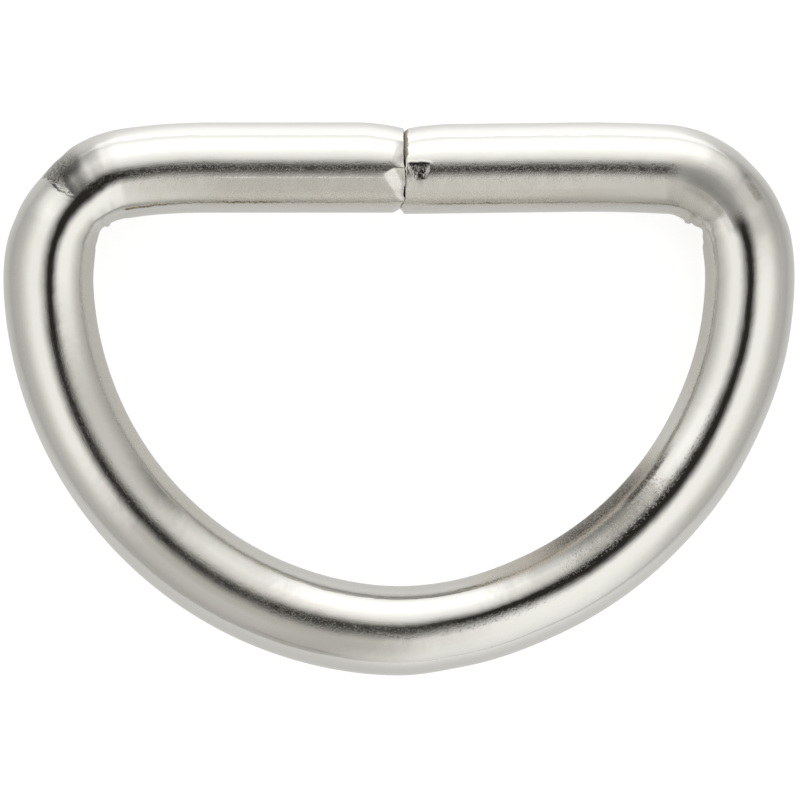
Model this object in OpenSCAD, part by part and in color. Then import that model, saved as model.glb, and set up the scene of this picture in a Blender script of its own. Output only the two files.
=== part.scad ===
// D ring: one length of round wire bent into a bow and a straight bar.
// It lies flat. The bar runs along X on the +Y side and the two cut ends of the wire meet in it.
// The ring is drawn from the lowest point of the bow's centreline, and moved last, so that the
// origin is under the middle of the ring, on the surface it lies on.

/* [Ring] */
// Clear width inside the ring, at its widest
inside_w = 25; // [20:0.5:32]
// Clear height inside the ring, from the bow's middle to the bar
inside_h = 15.25; // [13.5:0.05:19]
// Diameter of the wire
wire_d = 3.7; // [2.6:0.1:4.4]

/* [Bow] */
// How far each half of the bow is struck past the ring's middle line
bow_spread = 0.36; // [0.1:0.02:0.6]
// Turn of the tighter nose to each side of the middle line, in degrees
nose_turn = 8; // [5:0.5:12]
// Inside radius of the eased side between the bow and each corner
side_in_r = 5.75; // [4:0.05:7]
// Turn of the eased side beyond the widest point, in degrees
side_ease = 12; // [4:0.5:20]
// Depth of the flat that the press left on the outer side of the bow, to the right
bow_flat = 0.2; // [0.06:0.02:0.3]
// Radius of that flat, seen from above
bow_flat_r = 19; // [18:0.1:24]
// Direction of the flat's middle from the bow's centre, in degrees up from X
bow_flat_dir = -60; // [-75:1:-30]

/* [Corners] */
// Inside radius of the two tight bends
corner_in_r = 1.65; // [1.2:0.05:2.4]
// Depth of the flat that bending leaves on the outer side of a corner
corner_flat = 0.16; // [0.06:0.02:0.3]
// Radius of that flat, seen from above
corner_flat_r = 8; // [7:0.1:12]
// Direction of the flat's middle from the bend's centre, in degrees up from X
corner_flat_dir = 42; // [36:1:50]
// Depth of the seat that the bending tool leaves on the inner side of a corner
tool_seat = 0.16; // [0.06:0.02:0.3]

/* [Left half of the bar] */
// Radius of the long bend that brings the left half level
left_rise_r = 24; // [16:1:40]
// Turn of that bend, in degrees
left_rise_turn = 9; // [3:0.5:12]
// Lean of the left half down to the joint, in degrees
left_lean = 0; // [0:0.1:1]

/* [Right half of the bar] */
// Radius of the long bend that brings the right half level
right_rise_r = 60; // [30:1:70]
// Turn of that bend, in degrees
right_rise_turn = 3; // [1:0.5:4]
// Lean of the right half down to the joint, in degrees
right_lean = 0.7; // [0:0.1:1.2]

/* [Joint] */
// Distance of the joint from the ring's middle line
joint_x = 0.25; // [-1:0.05:1]
// Gap between the ends at the outer side of the bar
gap_outer = 0.2; // [0.1:0.02:0.4]
// Gap between the ends from the middle of the wire to the inner side
gap_inner = 0.04; // [0.02:0.01:0.08]
// Length of the slope that shearing left on the outer side of each end
slope_len = 1.7; // [1:0.1:2.6]
// Drop of that slope at the joint
slope_drop = 0.26; // [0.1:0.02:0.5]
// Width of the notch under the joint
notch_w = 0.5; // [0.2:0.05:0.9]
// Depth of the notch under the joint
notch_deep = 0.14; // [0.06:0.02:0.3]
// Width of the dent in the right end
dent_w = 0.7; // [0.4:0.05:0.9]
// Depth of the dent in the right end
dent_deep = 0.16; // [0.06:0.02:0.24]
// Distance of the dent's middle from the joint
dent_x = 0.5; // [0.3:0.05:1.2]
// Length of the facet struck on the left end
facet_len = 0.6; // [0.3:0.05:1]
// Slope of that facet down to the cut, in degrees
facet_slope = 24; // [12:1:35]
// Turn of that facet from the top of the wire to the inner side, in degrees
facet_turn = 18; // [5:1:40]

/* [Burr] */
// Length of the burr inside the right corner
burr_len = 0.66; // [0.3:0.02:1]
// Height of the burr above the wire
burr_proud = 0.12; // [0.06:0.02:0.2]
// Thickness of the burr
burr_thick = 0.5; // [0.2:0.05:0.8]
// Direction of the burr from the bend's centre, in degrees up from X
burr_dir = 43; // [30:1:60]

/* [Hidden] */
$fn = 96;
wire_r = wire_d / 2;
half_w = inside_w / 2 + wire_r;     // widest point of the centreline, from the middle line
bar_y = inside_h + wire_d;          // centreline of the bar, above the bow's lowest point
side_r = side_in_r + wire_r;
corner_r = corner_in_r + wire_r;
past = wire_d;                      // how far a cutter runs past what it cuts
// Every second stretch of the wire is slimmer by the neck and laps into the stretches on either
// side of it, so that no two curved surfaces run into each other.
neck = 0.006;
lap = 0.08;
joint_lap = gap_inner / 4;          // how far each half of the bar runs past the joint, into the gap

// Columns of a bend: centre, radius, and the headings at which it starts and ends.
// A heading is the wire's direction in degrees: 0 at the bow's lowest point, 180 along the bar.
CENTRE = 0;
RADIUS = 1;
FROM = 2;
TO = 3;
// Places of the bends in a half's list
NOSE = 0;
BOW = 1;
SIDE = 2;
CORNER = 3;
RISE = 4;

function outward(heading) = [sin(heading), -cos(heading)];
function on_bend(bend, heading) = bend[CENTRE] + bend[RADIUS] * outward(heading);

// Centre of the next bend, when one bend runs smoothly into another at a heading
function next_centre(centre, r, next_r, heading) = centre + (r - next_r) * outward(heading);

// Height from a side bend's centre up to the level bar
function top_height(side_to, rise_r, rise_turn) =
    -(side_r - corner_r) * cos(side_to) - (rise_r - corner_r) * cos(rise_turn) + rise_r;

// Height by which the nose lowers the bow's centre
nose_lift = bow_spread * tan(nose_turn / 2);

// Heading at which the bow meets the side, for a low ring whose side is its widest point
function low_meet(rise_r, rise_turn) =
    2 * atan((bar_y - top_height(90 + side_ease, rise_r, rise_turn) - side_r + nose_lift)
             / (half_w + bow_spread - side_r));

// The same for a tall ring, whose bow runs on past its widest point
function tall_meet(rise_r, rise_turn) =
    let (a = half_w + bow_spread - side_r)
    let (b = side_r - corner_r)
    let (reach = norm([a + b * cos(side_ease), b * sin(side_ease)]))
    let (phase = atan2(b * sin(side_ease), a + b * cos(side_ease)))
    let (rise = rise_r - (rise_r - corner_r) * cos(rise_turn))
    acos((half_w + bow_spread - nose_lift + rise - bar_y) / reach) - phase;

// The five bends of one half, from the bow's lowest point to the bar
function half_bends(rise_r, rise_turn, lean) =
    let (low = low_meet(rise_r, rise_turn))
    let (meet = low < 90 ? low : tall_meet(rise_r, rise_turn))
    let (side_to = max(90, meet) + side_ease)
    let (bow_r = side_r + (half_w + bow_spread - side_r) / sin(min(90, meet)))
    let (nose_r = bow_r - bow_spread / sin(nose_turn))
    let (nose_c = [0, nose_r])
    let (bow_c = next_centre(nose_c, nose_r, bow_r, nose_turn))
    let (side_c = next_centre(bow_c, bow_r, side_r, meet))
    let (corner_c = next_centre(side_c, side_r, corner_r, side_to))
    let (rise_c = next_centre(corner_c, corner_r, rise_r, 180 - rise_turn))
    [
        [nose_c, nose_r, 0, nose_turn],
        [bow_c, bow_r, nose_turn, meet],
        [side_c, side_r, meet, side_to],
        [corner_c, corner_r, side_to, 180 - rise_turn],
        [rise_c, rise_r, 180 - rise_turn, 180 + lean]
    ];

left_bends = half_bends(left_rise_r, left_rise_turn, left_lean);
right_bends = half_bends(right_rise_r, right_rise_turn, right_lean);

// Height of a half's centreline where it reaches the joint
function end_y(bends, lean, x) =
    let (p = on_bend(bends[RISE], 180 + lean))
    p.y - (p.x - x) * tan(lean);
left_end_y = end_y(left_bends, left_lean, -joint_x);
right_end_y = end_y(right_bends, right_lean, joint_x);

// One bend of the wire
module bend(row, slim) {
    lap_turn = slim ? lap / row[RADIUS] * 180 / PI : 0;
    translate([row[CENTRE].x, row[CENTRE].y, 0])
        rotate_extrude(start = row[FROM] - 90 - lap_turn, angle = row[TO] - row[FROM] + 2 * lap_turn)
            translate([row[RADIUS], 0])
                circle(r = slim ? wire_r - neck : wire_r);
}

// Half of the bar, from the end of the last bend up to x = end_x
module half_bar(bends, lean, end_x, slim) {
    from = on_bend(bends[RISE], 180 + lean);
    length = (from.x - end_x) / cos(lean);
    translate([from.x, from.y, 0])
        rotate([0, 0, lean])
            translate([slim ? lap : 0, 0, 0])
                rotate([-90, 0, 90])
                    cylinder(r = slim ? wire_r - neck : wire_r, h = slim ? length + lap : length);
}

// One half of the ring, drawn on the +X side, with every second stretch slim
module half_ring(bends, lean, end_x, slim_nose) {
    for (i = [NOSE : RISE]) bend(bends[i], (i % 2 == 0) == slim_nose);
    half_bar(bends, lean, end_x, !slim_nose);
}

// What a flat takes off the outer side of a bend: all that lies beyond a wider drum
module flat_waste(bend, drum_r, depth, dir) {
    reach = bend[RADIUS] + wire_r;
    drum_back = drum_r - (reach - depth);
    translate([bend[CENTRE].x, bend[CENTRE].y, 0])
        rotate([0, 0, dir])
            difference() {
                translate([bend[RADIUS], -reach, -past])
                    cube([past, 2 * reach, 2 * past]);
                translate([-drum_back, 0, -2 * past])
                    cylinder(r = drum_r, h = 4 * past, $fn = 240);
            }
}

// The flat that bending leaves on the outer side of a corner
module corner_waste(bends) {
    flat_waste(bends[CORNER], corner_flat_r, corner_flat, corner_flat_dir);
}

// The round tool that the wire was bent on, pressed into the inner side of a corner
module bending_tool(bends) {
    corner = bends[CORNER];
    translate([corner[CENTRE].x, corner[CENTRE].y, -past])
        cylinder(r = corner_in_r + tool_seat, h = 2 * past);
}

// Waste above the sheared slope of one end, drawn for the half on the +X side
module slope_waste(y) {
    top = y + wire_r;
    translate([0, 0, -past])
        linear_extrude(2 * past)
            polygon([
                [0, top - slope_drop],
                [2 * slope_len, top + slope_drop],
                [2 * slope_len, top + past],
                [0, top + past]
            ]);
}

// Wedge between the two ends: wide at the outer side, even from the wire's middle inwards
module joint_gap() {
    outer = max(left_end_y, right_end_y) + past;
    inner = min(left_end_y, right_end_y) - past;
    spread = (gap_outer - gap_inner) / 2 * past / wire_r;
    translate([joint_x, 0, -past])
        linear_extrude(2 * past)
            polygon([
                [-gap_inner / 2, inner],
                [gap_inner / 2, inner],
                [gap_inner / 2, bar_y],
                [gap_inner / 2 + spread, outer],
                [-gap_inner / 2 - spread, outer],
                [-gap_inner / 2, bar_y]
            ]);
}

// Notch under the joint, where both ends lost their inner edge, a little more on the left
module joint_notch() {
    y = min(left_end_y, right_end_y) - wire_r;
    translate([joint_x - notch_w / 4, y, -past])
        linear_extrude(2 * past)
            polygon([[-notch_w, -notch_deep], [notch_w, -notch_deep], [0, notch_deep]]);
}

// Round punch that left the dent in the top of the right end
module dent_punch() {
    punch_r = (dent_w * dent_w / 4 + dent_deep * dent_deep) / (2 * dent_deep);
    translate([joint_x + dent_x, right_end_y, wire_r + punch_r - dent_deep])
        sphere(r = punch_r);
}

// Block above the facet on the left end, turned about the wire and sloping down to the cut
module facet_block() {
    intersection() {
        translate([joint_x - facet_len, left_end_y, 0])
            rotate([facet_turn, 0, 0])
                translate([0, 0, wire_r])
                    rotate([0, facet_slope, 0])
                        translate([-facet_len, -wire_r, 0])
                            cube([4 * facet_len, wire_d, wire_r]);
        translate([joint_x - past, left_end_y - past, 0])
            cube([past, 2 * past, 2 * past]);
    }
}

// Burr that stands out of the inner side of the right corner, rooted well inside the wire
module burr() {
    corner = right_bends[CORNER];
    root = burr_proud + wire_r / 4;
    translate([corner[CENTRE].x, corner[CENTRE].y, 0])
        rotate([0, 0, burr_dir])
            translate([corner_in_r + tool_seat - burr_proud, -burr_len / 2, -burr_thick / 2])
                cube([root, burr_len, burr_thick]);
}

// The whole ring: both halves joined at the bow, less what shearing and bending took away
module ring_wire() {
    color("silver")
        translate([0, -bar_y / 2, wire_r])
            union() {
                difference() {
                    union() {
                        half_ring(right_bends, right_lean, joint_x - joint_lap, false);
                        mirror([1, 0, 0])
                            half_ring(left_bends, left_lean, -joint_x - joint_lap, true);
                    }
                    flat_waste(right_bends[BOW], bow_flat_r, bow_flat, bow_flat_dir);
                    corner_waste(right_bends);
                    bending_tool(right_bends);
                    mirror([1, 0, 0]) corner_waste(left_bends);
                    mirror([1, 0, 0]) bending_tool(left_bends);
                    translate([joint_x, 0, 0]) slope_waste(right_end_y);
                    translate([joint_x, 0, 0]) mirror([1, 0, 0]) slope_waste(left_end_y);
                    joint_gap();
                    joint_notch();
                    dent_punch();
                    facet_block();
                }
                burr();
            }
}

ring_wire();
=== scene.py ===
import math

import bpy
import numpy as np
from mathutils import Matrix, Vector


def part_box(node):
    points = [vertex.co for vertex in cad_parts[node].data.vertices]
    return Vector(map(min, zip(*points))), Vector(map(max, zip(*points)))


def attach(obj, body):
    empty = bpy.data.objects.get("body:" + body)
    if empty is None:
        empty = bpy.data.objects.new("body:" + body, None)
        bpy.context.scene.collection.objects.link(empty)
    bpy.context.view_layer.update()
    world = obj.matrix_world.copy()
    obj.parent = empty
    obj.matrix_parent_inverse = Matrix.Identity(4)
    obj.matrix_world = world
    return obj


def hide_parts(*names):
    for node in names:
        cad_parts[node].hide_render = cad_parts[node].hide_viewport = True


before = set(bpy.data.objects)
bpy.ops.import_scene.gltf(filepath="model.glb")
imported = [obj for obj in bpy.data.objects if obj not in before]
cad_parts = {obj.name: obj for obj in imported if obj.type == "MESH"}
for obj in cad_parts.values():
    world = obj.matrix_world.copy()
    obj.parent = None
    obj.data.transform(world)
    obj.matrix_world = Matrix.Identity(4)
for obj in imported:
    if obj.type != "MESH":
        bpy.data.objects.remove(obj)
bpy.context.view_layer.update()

# A D ring, bent from one length of nickel-plated steel wire, lying on a pale floor.
# +X runs along the straight bar, +Y from the bow to the bar and +Z up. Lengths are in metres.
# The ring is one closed surface: a section carried along the wire, from the cut end on the right of
# the joint, down round the bow, and up to the cut end on the left.

mm = 0.001
wireLow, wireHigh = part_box("ring_wire")
wireRadius = (wireHigh.z - wireLow.z) / 2
halfWidth = wireHigh.x - wireRadius            # widest point of the wire's middle line
bowFoot = wireLow.y + wireRadius               # lowest point of the wire's middle line
barRise = wireHigh.y - wireRadius - bowFoot    # from there up to the bar

ring = {
    "bowSpread": 0.36 * mm,        # each half of the bow is struck this far past the middle
    "noseTurn": 8,                 # degrees of the tighter nose, to each side
    "sideRadius": 7.6 * mm,
    "sideEase": 12,                # degrees that the side turns beyond the widest point
    "cornerRadius": 3.5 * mm,
    "left": {"riseRadius": 24 * mm, "riseTurn": 9, "lean": 0.0},
    "right": {"riseRadius": 60 * mm, "riseTurn": 3, "lean": 0.7},
    # How bending has changed the round wire. Columns: heading in degrees, from 0 at the bow's middle
    # to 180 along the bar; then, as shares of the wire's radius, the reach of the section outwards
    # from its crown, its reach inwards, and how far its crown has moved outwards; and the powers of
    # its outer and inner side, where 2 is round and more is squarer.
    "leftSections": [
        (0, 1.00, 0.98, -0.02, 2.0, 2.0),
        (30, 0.97, 1.02, 0.02, 2.0, 2.0),
        (70, 0.98, 1.01, 0.01, 2.0, 2.0),
        (95, 1.05, 0.94, -0.05, 2.0, 2.0),
        (112, 1.01, 0.86, -0.08, 2.0, 2.2),
        (132, 0.975, 0.785, -0.085, 2.0, 2.5),
        (142, 1.00, 0.81, -0.08, 2.0, 2.5),
        (152, 1.04, 0.86, -0.06, 2.0, 2.3),
        (162, 1.02, 0.92, -0.02, 2.0, 2.1),
        (172, 1.02, 0.96, 0.00, 2.0, 2.0),
        (180, 1.02, 0.98, -0.01, 2.0, 2.0),
    ],
    "rightSections": [
        (0, 1.00, 0.98, -0.02, 2.0, 2.0),
        (11, 1.00, 0.92, -0.08, 2.0, 2.0),
        (24, 0.99, 0.91, -0.11, 2.0, 2.0),
        (44, 0.99, 0.91, -0.10, 2.0, 2.0),
        (62, 0.99, 0.95, -0.06, 2.0, 2.0),
        (80, 0.99, 0.99, 0.00, 2.0, 2.0),
        (98, 0.99, 0.99, 0.00, 2.0, 2.0),
        (112, 1.01, 0.86, -0.06, 2.1, 2.1),
        (123, 1.00, 0.78, -0.06, 2.3, 2.2),
        (134, 0.97, 0.88, -0.04, 2.5, 2.4),
        (149, 0.99, 0.94, -0.03, 2.4, 2.4),
        (165, 1.00, 0.95, -0.01, 2.1, 2.2),
        (180, 1.02, 0.96, -0.01, 2.0, 2.0),
    ],
    "jointX": 0.25 * mm,           # where the two cut ends meet
    "endDip": {"left": 0.24 * mm, "right": 0.16 * mm},     # how far the outer side falls to the joint
    "endDipLength": 1.9 * mm,
    "edgeRound": 0.03 * mm,        # rounding of the rim of a cut face
    "rimScale": 0.97,              # a section scaled by more than this is on the wire, not on its face
    "rimSharp": 0.9,               # share of the rounding that a sharp rim loses
    # The gap between the ends. Columns: place across the bar as a share of the wire's radius, gap on
    # the left, gap on the right, and shift of the line where they meet.
    "gap": [
        (-1.00, -0.05 * mm, -0.05 * mm, -0.18 * mm),
        (-0.88, -0.05 * mm, -0.05 * mm, -0.17 * mm),
        (-0.70, -0.045 * mm, -0.045 * mm, -0.02 * mm),
        (-0.62, 0.09 * mm, -0.004 * mm, 0.02 * mm),
        (-0.46, 0.06 * mm, -0.004 * mm, 0.02 * mm),
        (-0.36, 0.012 * mm, 0.012 * mm, 0.03 * mm),
        (-0.16, 0.015 * mm, 0.01 * mm, 0.03 * mm),
        (-0.02, 0.02 * mm, 0.02 * mm, 0.00 * mm),
        (0.11, 0.03 * mm, 0.04 * mm, -0.02 * mm),
        (0.25, 0.015 * mm, 0.09 * mm, -0.04 * mm),
        (0.45, 0.01 * mm, 0.15 * mm, -0.05 * mm),
        (1.00, 0.02 * mm, 0.16 * mm, -0.05 * mm),
    ],
    "gapDepth": 0.10,              # share of the radius within which the gap closes again
    "closest": 0.004 * mm,         # added to the gap of each end, all the way in
    # Unevenness of the cut edge, its step, and the shares across between which it sets in
    "ragged": {"left": 0.006 * mm, "right": 0.045 * mm},
    "raggedStep": 0.12 * mm,
    "raggedFrom": (-0.3, 0.0),
    # The rim of a cut face is sharp on its inner part: shares across where it is fully so, and begins
    "sharpBelow": {"left": (-0.78, -0.66), "right": (-0.25, -0.05)},
    # Left end: a part of the inner side of the top slopes off to the joint. Columns of its two
    # borders: place across as a share of the radius, and how far back from the joint it is there.
    "facet": {
        "from": [
            (-0.78, 0.00 * mm),
            (-0.70, 0.26 * mm),
            (-0.17, 0.86 * mm),
            (-0.06, 0.56 * mm),
            (-0.03, 0.44 * mm),
        ],
        "until": [
            (-0.78, 0.00 * mm),
            (-0.66, 0.11 * mm),
            (-0.46, 0.14 * mm),
            (-0.24, 0.24 * mm),
            (-0.03, 0.44 * mm),
        ],
        "slope": 0.24,
        "edge": 0.05 * mm,
    },
    # Right end: a dent with a flat rough bottom, inside three corners, and with a lip on its outer side.
    # A corner is its distance back from the joint and its place across.
    "dent": {
        "near": (0.03 * mm, 0.24 * mm),
        "far": (1.02 * mm, 0.20 * mm),
        "foot": (0.60 * mm, -0.80 * mm),
        "round": 0.12 * mm,
        "ragged": 0.03 * mm,
        "step": 0.10 * mm,
        "edge": 0.25 * mm,
        "depth": 0.031 * mm,
        "slope": 0.05,
        "rough": 0.011 * mm,
        # Darkening of the dent's bottom: painted shade
        "sootAndShade": 0.30,
        "lip": 0.010 * mm,
        "lipOut": 0.07 * mm,
        "lipBreadth": 0.04 * mm,
        "lipFrom": (-0.05 * mm, 0.15 * mm),
    },
    # The outer part of both ends rolls over a little at the cut: length and drop, and the shares of
    # the radius between which it sets in
    "roll": {"left": (0.62 * mm, 0.12 * mm, -0.12, 0.20), "right": (0.10 * mm, 0.02 * mm, -0.12, 0.02)},
    # How far the inner side draws back to the small V under the joint, and over which length; and the
    # shares inwards between which it sets in
    "notch": {"left": (0.17 * mm, 0.55 * mm), "right": (0.19 * mm, 0.15 * mm)},
    "notchFrom": (0.75, 1.0),
    # Right corner: the bending tool has left a ridge on the top. Its place across as a share of the
    # radius, how much steeper the wire is just inside it, how far that reaches, its unevenness and
    # the step of that, and the headings at which it begins and is full, fades and ends
    "ridge": {
        "across": -0.24,
        "slope": 0.24,
        "reach": 0.42 * mm,
        "ragged": 0.020 * mm,
        "step": 0.16 * mm,
        "near": 0.10 * mm,         # the unevenness fades within this distance
        "headings": (106, 122, 150, 187),
    },
    # Left corner: a ragged scar crosses the outer side of the top. Its heading is "outer" plus "turn"
    # times the exponential of -(share of the radius across / "over").
    "scar": {
        "outer": 131.7,
        "turn": 5.5,
        "over": 0.30,
        "across": (0.02, 0.20, 0.75, 0.95),    # shares across: begins, is full, fades and ends
        "ragged": 0.075 * mm,
        "step": 0.09 * mm,
        "depth": 0.016 * mm,
        "depthChange": 0.4,        # share of the depth that comes and goes
        "breadth": 0.030 * mm,
        # Headings between which the darkness beyond it fades, how much further that is at the side, and
        # how dark it is; and by how much the top is less dark than the side. This darkness is a painted
        # dark reflection.
        "sootAndShade": (133, 148, 8, 0.60),
        "darkTopLess": 0.4,
        "darkSide": (0.35, 0.60),  # shares across between which the top goes over to the side
        "darkAcross": (0.02, 0.14),
        "darkEdge": 0.03 * mm,
        # How much darker it is right at the scar, the share of that which comes and goes, and over
        # which length it fades
        "black": (0.60, 0.5, 0.09 * mm),
    },
    # Where the wire's top is flatter than round. Columns: half, heading at which it begins and is
    # full, heading at which it starts to fade and ends, place across and half breadth as shares of
    # the radius, and how much of the curve is lost there.
    "flats": [
        ("both", (-40, -30, 10, 30), 0.04, 0.16, 0.30),
        ("right", (18, 34, 54, 92), -0.11, 0.18, 0.40),
        ("right", (102, 110, 118, 126), -0.16, 0.20, 0.36),
        ("right", (118, 126, 160, 172), -0.12, 0.16, 0.30),
        ("left", (134, 144, 160, 172), -0.07, 0.20, 0.16),
    ],
    # Where the wire's inner side is fuller than round, with the same columns; the last is the height
    # it gains, as a share of the radius
    "bulges": [
        ("left", (108, 126, 158, 170), -0.88, 0.25, 0.04),
        ("right", (104, 114, 124, 136), -0.88, 0.25, 0.05),
    ],
    # Small burrs on the innermost part of the corners: half, the same four headings, and height as a
    # share of the radius; the shares inwards between which they rise; their unevenness and its step
    "burrs": [("left", (136, 139, 142, 146), 0.06), ("right", (138, 140, 144, 149), 0.06)],
    "burrFrom": (0.72, 0.92),
    "burrChange": 0.2,
    "burrStep": 0.16 * mm,
    "endReach": 0.6 * mm,          # length of wire that leans over to follow the cut
    # The cut faces: stain on their outer part and the shares across between which it sets in, and
    # their darkening, soot with painted shade that deepens towards their inner part within the joint:
    # how dark they are, how much less of it there is on the outer part, and between which shares it
    # lessens
    "faceStain": {"left": 0.45, "right": 0.90},
    "faceStainFrom": (0.10, 0.35),
    "faceSootAndShade": (0.75, 0.50),
    "faceShadeFrom": (0.05, 0.50),
    "faceScale": 0.985,            # a section scaled by less than this has the look of the face
    "faceRows": 16,
    # Spacing of the mesh along the wire; and where it is closer, the spacing there, how far to both
    # sides that holds, and its growth as a share of the distance beyond
    "rowGap": 0.25 * mm,
    "closeRows": {
        "corner": (0.09 * mm, 3.2 * mm, 0.06),
        "scar": (0.022 * mm, 0.26 * mm, 0.12),
        "end": (0.03 * mm, 1.6 * mm, 0.12),
        "edge": (0.008 * mm, 0.06 * mm, 0.12),
    },
    # Spacing of the mesh around the wire on its top, its sides and its underside, and the heights as
    # shares of the radius above which it is top and below which it is underside
    "columnGaps": (0.044 * mm, 0.076 * mm, 0.16 * mm),
    "topFrom": 0.84,
    "underBelow": -0.35,
    "spacingSteps": 20000,         # fine steps over which the spacings are added up
    # The unevenness of each mark has its own draw, which is longer than half the wire
    "unevenLength": 80 * mm,
    "seeds": {
        "ridge": 3,
        "cut": 5,
        "scar": 7,
        "scarDepth": 8,
        "scarBlack": 9,
        "dentFloor": 11,
        "dentBack": 12,
        "dentAcross": 13,
        "burrs": 15,
    },
}


# Smooth step from 0 at low to 1 at high: 3t squared less 2t cubed
def smoothStep(value, low, high):
    t = np.clip((value - low) / (high - low), 0, 1)
    return t * t * (3 - 2 * t)


# 1 between the two middle ones of four places, 0 outside the outer ones, and smooth steps between
def between(value, begins, full, fades, ends):
    return smoothStep(value, begins, full) * (1 - smoothStep(value, fades, ends))


# The rows of a table that are for this half, without their first column
def rowsOf(table, side):
    return [row[1:] for row in table if row[0] in (side, "both")]


# Value of a table's column at each place: a smooth step from each row to the next
def fromTable(rows, column, place):
    table = np.array(rows, float)
    after = np.clip(np.searchsorted(table[:, 0], place, side="right"), 1, len(table) - 1)
    low, high = table[after - 1], table[after]
    share = smoothStep(place, low[..., 0], high[..., 0])
    return low[..., column] + (high[..., column] - low[..., column]) * share


# Places from low to high, each as far from the next as gapAt says: the running sum of 1 / gap is cut
# into even steps, one for each gap
def spacedBy(low, high, gapAt):
    fine = np.linspace(low, high, ring["spacingSteps"] + 1)
    gaps = gapAt((fine[1:] + fine[:-1]) / 2)
    running = np.concatenate([[0.0], np.cumsum(np.diff(fine) / gaps)])
    return np.interp(np.linspace(0, running[-1], int(running[-1]) + 2), running, fine)


# Direction away from the middle of the D, at a heading of the wire on its right half
def outwardAt(heading):
    return np.stack([np.sin(heading), -np.cos(heading)], axis=-1)


# The five bends of one half. Each row: centre x and y, radius, first heading, last heading.
# Two bends that meet at a heading share their tangent there, so the next centre lies
# (radius - next radius) further out. The bow's last heading is the one at which a circle through
# the foot reaches both the side and the height of the bar.
def halfBends(bar):
    spread, sideR, cornerR = ring["bowSpread"], ring["sideRadius"], ring["cornerRadius"]
    nose, ease, turn = np.radians([ring["noseTurn"], ring["sideEase"], bar["riseTurn"]])
    riseR = bar["riseRadius"]
    top = (sideR - cornerR) * math.sin(ease) - (riseR - cornerR) * math.cos(turn) + riseR
    lift = spread * math.tan(nose / 2)
    meet = 2 * math.atan((barRise - top - sideR + lift) / (halfWidth + spread - sideR))
    bowR = sideR + (halfWidth + spread - sideR) / math.sin(meet)
    radii = np.array([bowR - spread / math.sin(nose), bowR, sideR, cornerR, riseR])
    lean = math.radians(bar["lean"])
    headings = np.array([0, nose, meet, math.pi / 2 + ease, math.pi - turn, math.pi + lean])
    steps = (radii[:-1] - radii[1:])[:, None] * outwardAt(headings[1:-1])
    centres = np.array([0, bowFoot + radii[0]]) + np.concatenate([[[0, 0]], np.cumsum(steps, axis=0)])
    return np.column_stack([centres, radii, headings[:-1], headings[1:]])


# Point, heading and length past the last bend, at a distance along a half from the bow's foot: the
# heading grows by distance / radius in each bend, and past the last one the wire runs straight
def alongHalf(bends, distance):
    lengths = bends[:, 2] * (bends[:, 4] - bends[:, 3])
    starts = np.concatenate([[0], np.cumsum(lengths)[:-1]])
    bend = np.clip(np.searchsorted(starts, distance, side="right") - 1, 0, len(bends) - 1)
    done = distance - starts[bend]
    past = np.maximum(done - lengths[bend], 0)
    heading = bends[bend, 3] + (done - past) / bends[bend, 2]
    ahead = np.stack([np.cos(heading), np.sin(heading)], axis=-1)
    point = bends[bend, :2] + bends[bend, 2, None] * outwardAt(heading) + past[:, None] * ahead
    return point, heading, past


# Length of a half from the bow's foot to the joint
def halfLength(bends, jointX):
    bent = np.sum(bends[:, 2] * (bends[:, 4] - bends[:, 3]))
    last = bends[-1]
    endX = last[0] + last[2] * math.sin(last[4])
    return bent + (endX - jointX) / -math.cos(last[4])


# Spacing of the mesh along a half: the least of the even spacing and of those around its close places,
# which grow in proportion to the distance from there
def rowGapAt(distance, closePlaces):
    gaps = [np.full_like(distance, ring["rowGap"])]
    for name, place in closePlaces.items():
        gap, holds, growth = ring["closeRows"][name]
        gaps.append(gap + growth * np.maximum(np.abs(distance - place) - holds, 0))
    return np.minimum.reduce(gaps)


# Distance and scale of the sections of a half: from the bow's foot to the joint, and on over the cut
# face, where the last section comes again and again, smaller and smaller. The rim is rounded with the
# radius r: at u past the start of the rounding the section is smaller by r less the root of
# (r squared - u squared).
def wireRows(side, bends, length):
    lengths = bends[:, 2] * (bends[:, 4] - bends[:, 3])
    closePlaces = {"corner": np.sum(lengths[:3]) + lengths[3] / 2, "end": length, "edge": length}
    if side == "left":
        turned = math.radians(ring["scar"]["outer"] + ring["scar"]["turn"] / 2) - bends[3, 3]
        closePlaces["scar"] = np.sum(lengths[:3]) + turned * bends[3, 2]
    distance = spacedBy(0, length, lambda d: rowGapAt(d, closePlaces))
    past = np.maximum(ring["edgeRound"] - (length - distance), 0)
    shrink = ring["edgeRound"] - np.sqrt(ring["edgeRound"] ** 2 - past ** 2)
    scale = 1 - shrink / wireRadius
    faces = np.linspace(1, 0, ring["faceRows"] + 1)[1:]
    distance = np.concatenate([distance, np.full(len(faces), distance[-1])])
    return distance, np.concatenate([scale, scale[-1] * faces])


# The sections of a half: the circle's cosine and sine, each to the power 2 / p, which makes it squarer,
# times the section's reach. Towards the joint the outer side dips by a smooth step.
def sectionPoints(side, heading, back, angles):
    columns = [fromTable(ring[side + "Sections"], column, np.degrees(heading)) for column in range(1, 6)]
    outer, inner, crown, outerPower, innerPower = columns
    dip, length = ring["endDip"][side], ring["endDipLength"]
    outer = outer - 2 * dip / wireRadius * (1 - smoothStep(back, -length, length))
    out, up = np.cos(angles)[None, :], np.sin(angles)[None, :]
    reach = np.where(out > 0, outer, inner)
    power = 2 / np.where(out > 0, outerPower, innerPower)
    across = wireRadius * (crown + reach * np.sign(out) * np.abs(out) ** power)
    return across, wireRadius * np.sign(up) * np.abs(up) ** power


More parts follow.
